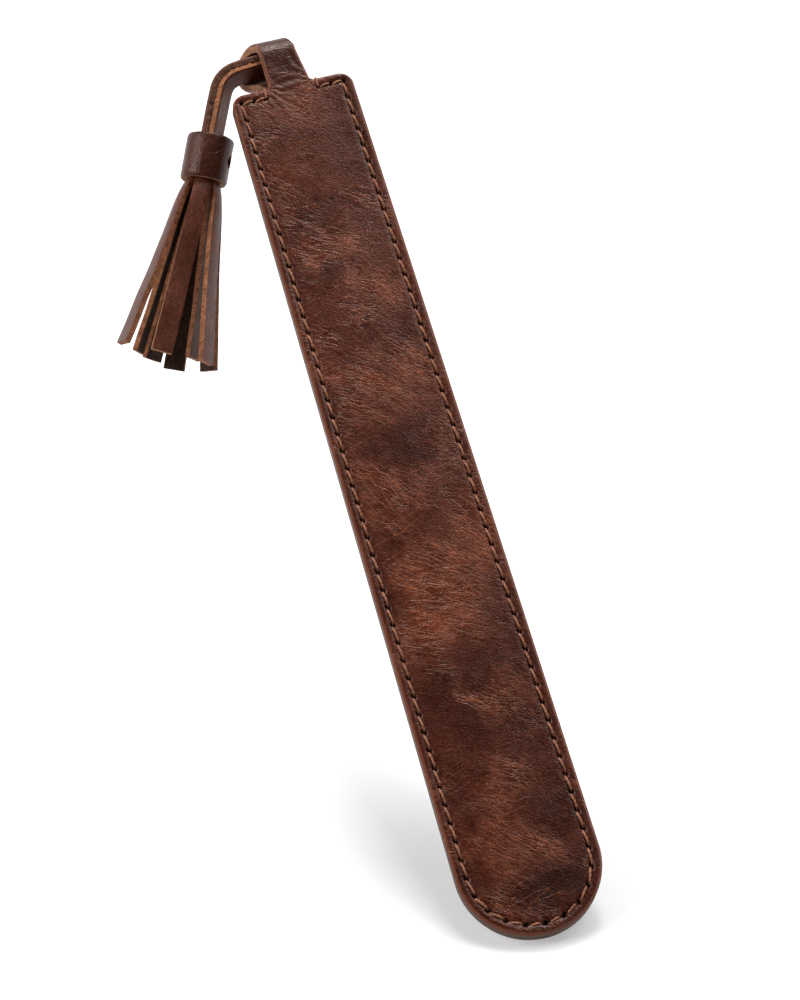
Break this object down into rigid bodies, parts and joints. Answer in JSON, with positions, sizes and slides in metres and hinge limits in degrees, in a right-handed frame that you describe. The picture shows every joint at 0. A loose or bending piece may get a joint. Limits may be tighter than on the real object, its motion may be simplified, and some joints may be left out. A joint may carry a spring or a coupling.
{
  "type": "leather bookmark",
  "caption": "Round-ended strip of stitched, layered leather with a folded loop at its top, a doubled lace and a short tassel, laid between pages to keep a place.",
  "frame": {"origin": "middle of the flat back face", "axes": "+Z along the bookmark towards the loop, +Y out of the back face, +X to the right seen from the front"},
  "size_m": [0.0654, 0.0271, 0.2113],
  "materials": {
    "panel_leather": "waxed pull-up grain",
    "thread": "waxed twisted thread",
    "lace_leather": "grain outside, raw cut edges",
    "tassel_leather": "grain outside, suede inside"
  },
  "bodies": {
    "bookmark": {"front_panel": "panel_leather", "back_panel": "panel_leather", "front_thread": "thread", "back_thread": "thread", "lace_outer": "lace_leather", "lace_inner": "lace_leather"},
    "tassel": {"sleeve": "tassel_leather"},
    "strand_1": {"strand_1": "tassel_leather"},
    "strand_2": {"strand_2": "tassel_leather"},
    "strand_3": {"strand_3": "tassel_leather"},
    "strand_4": {"strand_4": "tassel_leather"},
    "strand_5": {"strand_5": "tassel_leather"},
    "strand_6": {"strand_6": "tassel_leather"},
    "strand_7": {"strand_7": "tassel_leather"},
    "strand_8": {"strand_8": "tassel_leather"}
  },
  "joints": [
    {"name": "tassel_swing", "type": "hinge", "parent": "bookmark", "child": "tassel", "pos_m": [-0.01348, 0.00154, 0.10639], "axis": [0, 0.9781, 0.2079], "range_deg": [-10, 65], "deforming": ["lace_outer", "lace_inner"]},
    {"name": "strand_1_flex", "type": "hinge", "parent": "tassel", "child": "strand_1", "pos_m": [-0.02512, 0.0037, 0.08049], "axis": [-0.91, -0.0862, 0.4056], "range_deg": [-4, 25], "deforming": ["strand_1"]},
    {"name": "strand_2_flex", "type": "hinge", "parent": "tassel", "child": "strand_2", "pos_m": [-0.02243, 0.00562, 0.07965], "axis": [-0.4272, -0.9041, 0.0069], "range_deg": [-4, 25], "deforming": ["strand_2"]},
    {"name": "strand_3_flex", "type": "hinge", "parent": "tassel", "child": "strand_3", "pos_m": [-0.02248, 0.00879, 0.08035], "axis": [0.455, -0.804, -0.3829], "range_deg": [-4, 25], "deforming": ["strand_3"]},
    {"name": "strand_4_flex", "type": "hinge", "parent": "tassel", "child": "strand_4", "pos_m": [-0.02496, 0.01018, 0.0818], "axis": [0.9087, 0.0349, -0.416], "range_deg": [-4, 25], "deforming": ["strand_4"]},
    {"name": "strand_5_flex", "type": "hinge", "parent": "tassel", "child": "strand_5", "pos_m": [-0.02755, 0.00864, 0.08268], "axis": [0.5476, 0.8331, -0.0781], "range_deg": [-4, 25], "deforming": ["strand_5"]},
    {"name": "strand_6_flex", "type": "hinge", "parent": "tassel", "child": "strand_6", "pos_m": [-0.028, 0.00556, 0.08224], "axis": [-0.2963, 0.8968, 0.3286], "range_deg": [-4, 25], "deforming": ["strand_6"]},
    {"name": "strand_7_flex", "type": "hinge", "parent": "tassel", "child": "strand_7", "pos_m": [-0.02357, 0.00711, 0.08049], "axis": [0.0318, -0.9745, -0.2219], "range_deg": [-5, 5], "deforming": ["strand_7"]},
    {"name": "strand_8_flex", "type": "hinge", "parent": "tassel", "child": "strand_8", "pos_m": [-0.02597, 0.00828, 0.08187], "axis": [0.7717, 0.5915, -0.2338], "range_deg": [-5, 5], "deforming": ["strand_8"]}
  ]
}
